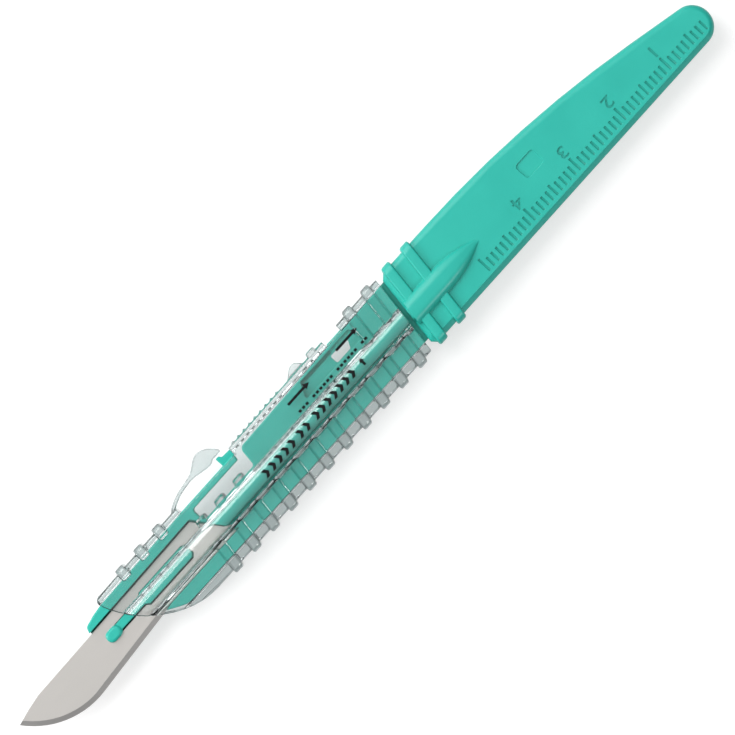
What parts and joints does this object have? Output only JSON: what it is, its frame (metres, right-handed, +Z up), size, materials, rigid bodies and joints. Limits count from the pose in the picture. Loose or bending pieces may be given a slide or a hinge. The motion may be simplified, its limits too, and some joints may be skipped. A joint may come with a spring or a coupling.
{
  "type": "disposable scalpel",
  "caption": "Disposable safety scalpel: green moulded handle with a moulded rule, round bellied steel blade and a clear guard that slides forward over the blade.",
  "frame": {"origin": "on the ground under the middle of the part's box, with the part lying on the flat land of its ridge", "axes": "+X from the blade to the tail, +Y towards the back of the blade, +Z up, away from the face it lies on"},
  "size_m": [0.1466, 0.0164, 0.0072],
  "materials": {
    "green_plastic": "moulded, soft satin",
    "blade_steel": "fine ground, with a darker ground bevel along the edge",
    "clear_plastic": "clear, polished"
  },
  "bodies": {
    "handle": {"handle": "green_plastic", "blade": "blade_steel"},
    "guard": {"guard": "clear_plastic"}
  },
  "joints": [
    {"name": "guard_slide", "type": "slide", "parent": "handle", "child": "guard", "axis": [-1, 0, 0], "range_m": [0, 0.0237]}
  ]
}
